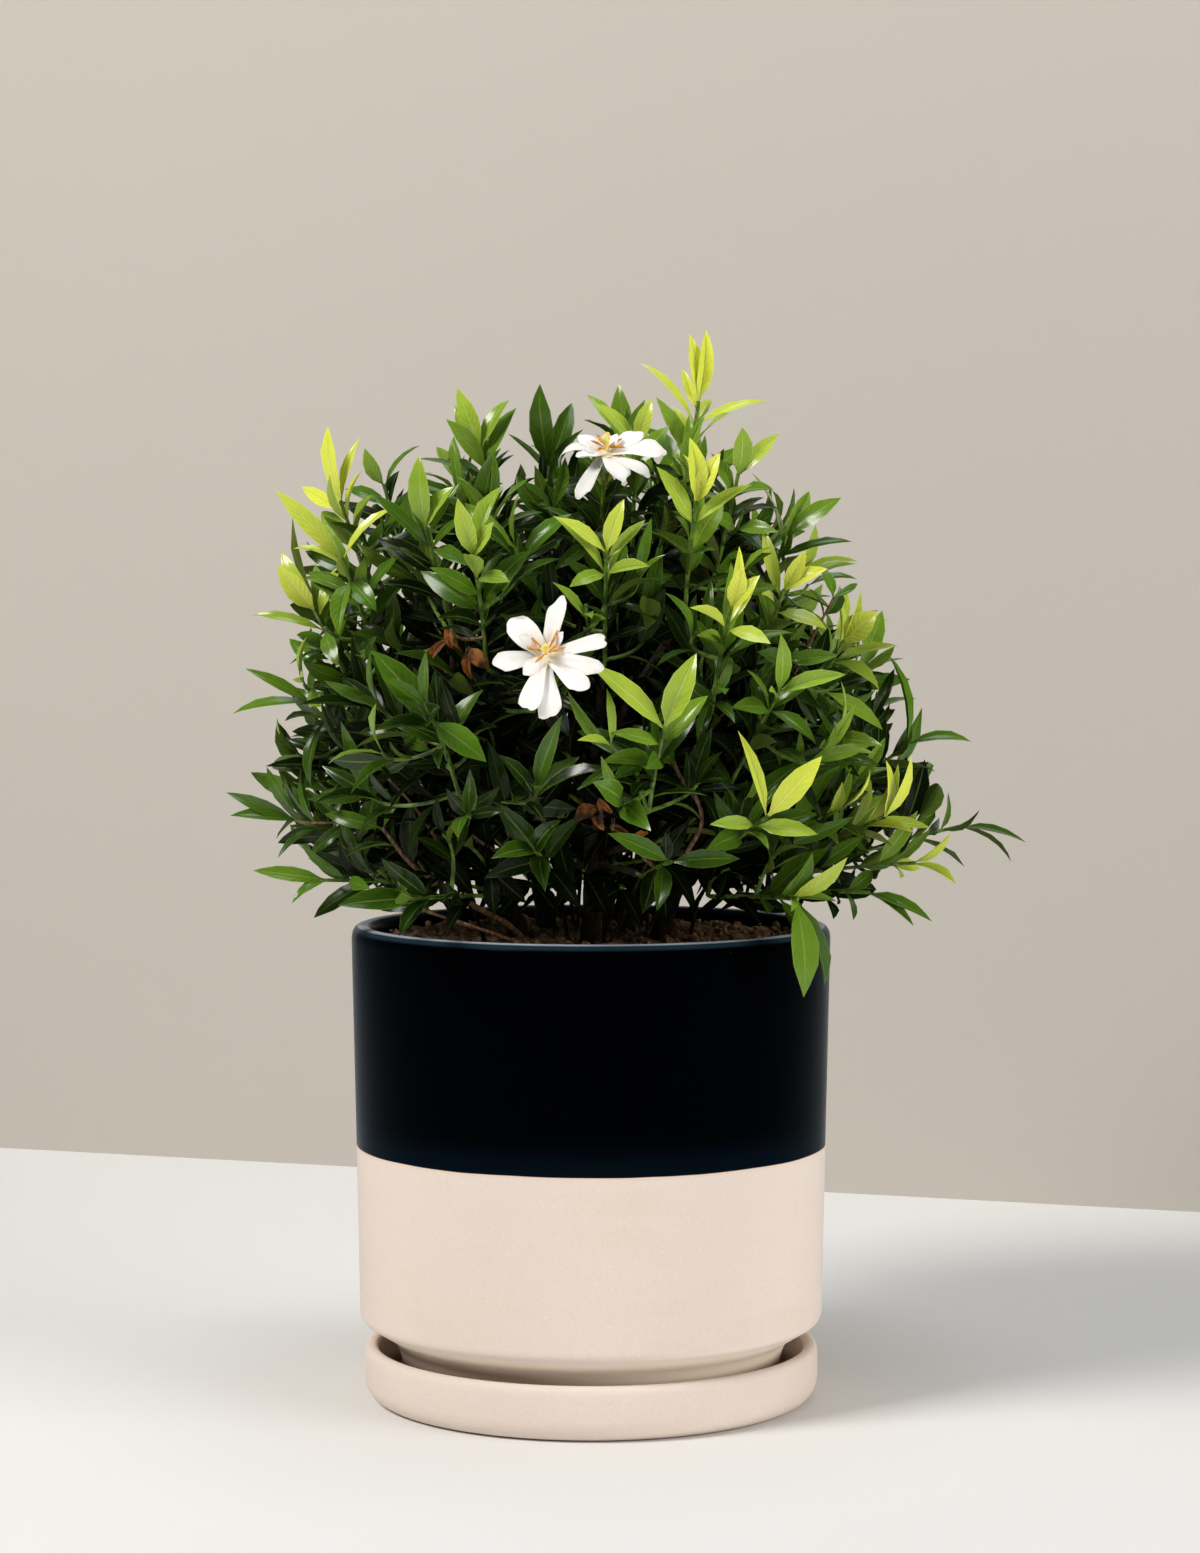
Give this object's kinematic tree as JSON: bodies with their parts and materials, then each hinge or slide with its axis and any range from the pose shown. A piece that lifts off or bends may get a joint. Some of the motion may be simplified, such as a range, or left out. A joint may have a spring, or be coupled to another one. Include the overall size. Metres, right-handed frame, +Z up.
{
  "type": "potted gardenia",
  "caption": "Dwarf gardenia shrub with white blooms, growing in a two-tone ceramic pot that stands in its saucer.",
  "frame": {"origin": "centre of the saucer's flat underside, on the surface that the plant stands on", "axes": "+Z up along the pot's axis, -Y towards the front, where the big bloom faces, +X to the right seen from the front"},
  "size_m": [0.3353, 0.3214, 0.4451],
  "materials": {
    "pot_ceramic": "matte clay below, dark glossy glaze on the upper part and the rim",
    "saucer_clay": "matte, fine grained",
    "potting_mix": "loose and crumbly",
    "bark": "rough",
    "mature_leaf": "glossy, with a pale midrib",
    "young_leaf": "satin, yellow-green",
    "petal": "matte, waxy white",
    "anther": "matte, orange-brown",
    "stigma": "matte, yellow",
    "dry_leaf": "matte, crumpled"
  },
  "bodies": {
    "root": {"saucer": "saucer_clay", "pot": "pot_ceramic", "soil": "potting_mix", "woody_stem_1": "bark", "woody_stem_2": "bark", "woody_stem_3": "bark", "woody_stem_4": "bark", "woody_stem_5": "bark", "woody_stem_6": "bark", "leafy_stem_01": "young_leaf", "leafy_stem_02": "young_leaf", "leafy_stem_03": "mature_leaf", "leafy_stem_04": "young_leaf", "leafy_stem_05": "young_leaf", "leafy_stem_06": "young_leaf", "leafy_stem_07": "mature_leaf", "leafy_stem_08": "mature_leaf", "leafy_stem_09": "young_leaf", "leafy_stem_10": "young_leaf", "leafy_stem_11": "mature_leaf", "leafy_stem_12": "mature_leaf", "leafy_stem_13": "mature_leaf", "leafy_stem_14": "mature_leaf", "leafy_stem_15": "young_leaf", "leafy_stem_16": "mature_leaf", "leafy_stem_17": "mature_leaf", "leafy_stem_18": "young_leaf", "leafy_stem_19": "young_leaf", "leafy_stem_20": "young_leaf", "leafy_stem_21": "young_leaf", "leafy_stem_22": "young_leaf", "leafy_stem_23": "mature_leaf", "leafy_stem_24": "mature_leaf", "leafy_stem_25": "young_leaf", "leafy_stem_26": "mature_leaf", "leafy_stem_27": "young_leaf", "leafy_stem_28": "mature_leaf", "leafy_stem_29": "young_leaf", "leafy_stem_30": "mature_leaf", "leafy_stem_31": "mature_leaf", "leafy_stem_32": "mature_leaf", "leafy_stem_33": "mature_leaf", "leafy_stem_34": "mature_leaf", "leafy_stem_35": "mature_leaf", "leafy_stem_36": "mature_leaf", "leafy_stem_37": "mature_leaf", "leafy_stem_38": "mature_leaf", "leafy_stem_39": "mature_leaf", "leafy_stem_40": "mature_leaf", "leafy_stem_41": "mature_leaf", "leafy_stem_42": "mature_leaf", "leafy_stem_43": "mature_leaf", "leafy_stem_44": "mature_leaf", "bloom_1_petals": "petal", "bloom_1_stamens": "anther", "bloom_1_pistil": "stigma", "bloom_2_petals": "petal", "bloom_2_stamens": "anther", "bloom_2_pistil": "stigma", "dried_leaves_1": "dry_leaf"}
  },
  "joints": []
}
